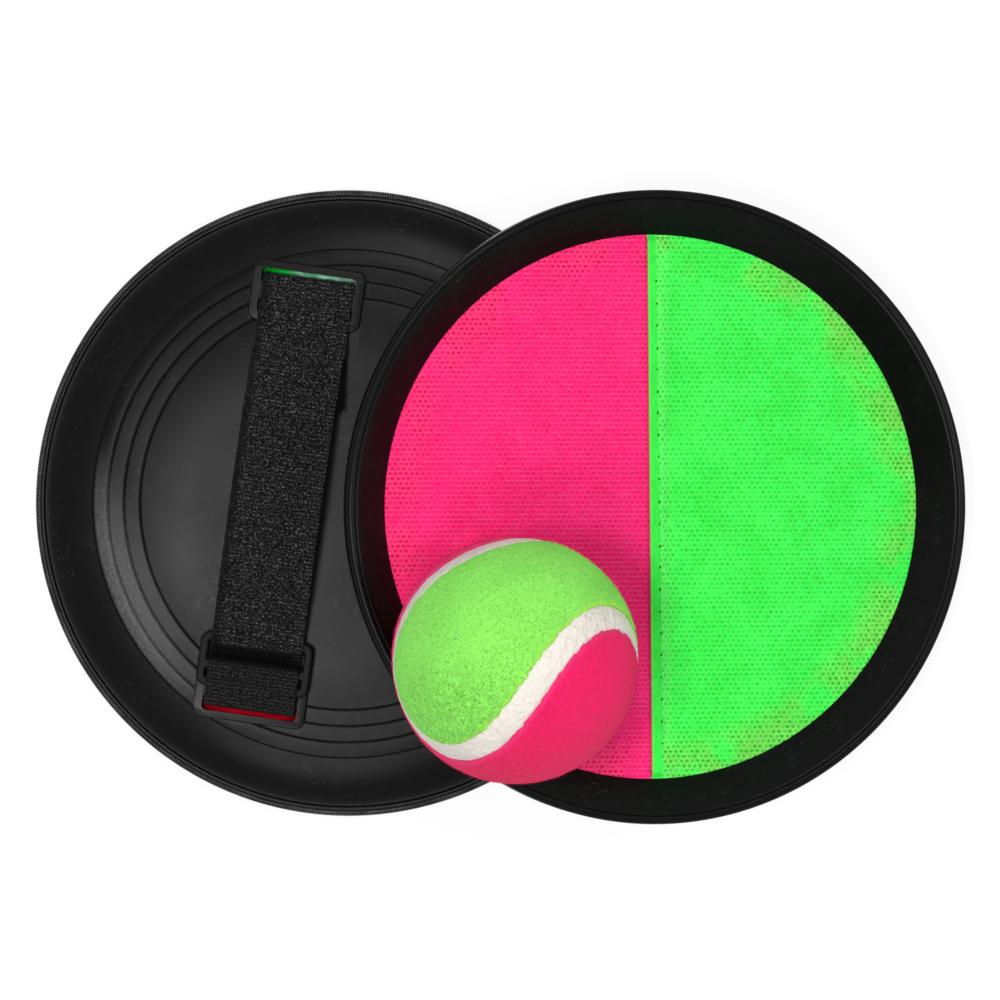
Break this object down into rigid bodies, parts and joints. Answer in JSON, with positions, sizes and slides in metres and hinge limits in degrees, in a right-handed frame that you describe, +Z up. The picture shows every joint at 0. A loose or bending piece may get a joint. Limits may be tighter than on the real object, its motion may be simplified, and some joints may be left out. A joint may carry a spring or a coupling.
{
  "type": "toss and catch set",
  "caption": "Round catch paddles with hook fabric faces and adjustable hand straps, lying one over the other, with a felt ball caught on the upper one.",
  "frame": {"origin": "middle of the set's outline on the surface that it lies on", "axes": "+X from the left paddle to the right one, +Y to the far side, +Z up"},
  "size_m": [0.2594, 0.1756, 0.0994],
  "materials": {
    "body_plastic": "moulded black, satin gloss",
    "slider_plastic": "moulded black",
    "pink_fabric": "short looped pile in rows",
    "green_fabric": "short looped pile in rows",
    "webbing": "looped pile on the outside, ribbed weave on the inside",
    "ball_rubber": "off-white, finely wrinkled",
    "green_felt": "matted felt",
    "pink_felt": "matted felt"
  },
  "bodies": {
    "root": {"left_back_shell": "body_plastic", "left_front_ring": "body_plastic", "left_pink_fabric": "pink_fabric", "left_green_fabric": "green_fabric", "left_strap": "webbing", "left_slider": "slider_plastic", "right_back_shell": "body_plastic", "right_front_ring": "body_plastic", "right_pink_fabric": "pink_fabric", "right_green_fabric": "green_fabric", "right_strap": "webbing", "right_slider": "slider_plastic", "ball_core": "ball_rubber", "ball_green_felt": "green_felt", "ball_pink_felt": "pink_felt"}
  },
  "joints": []
}
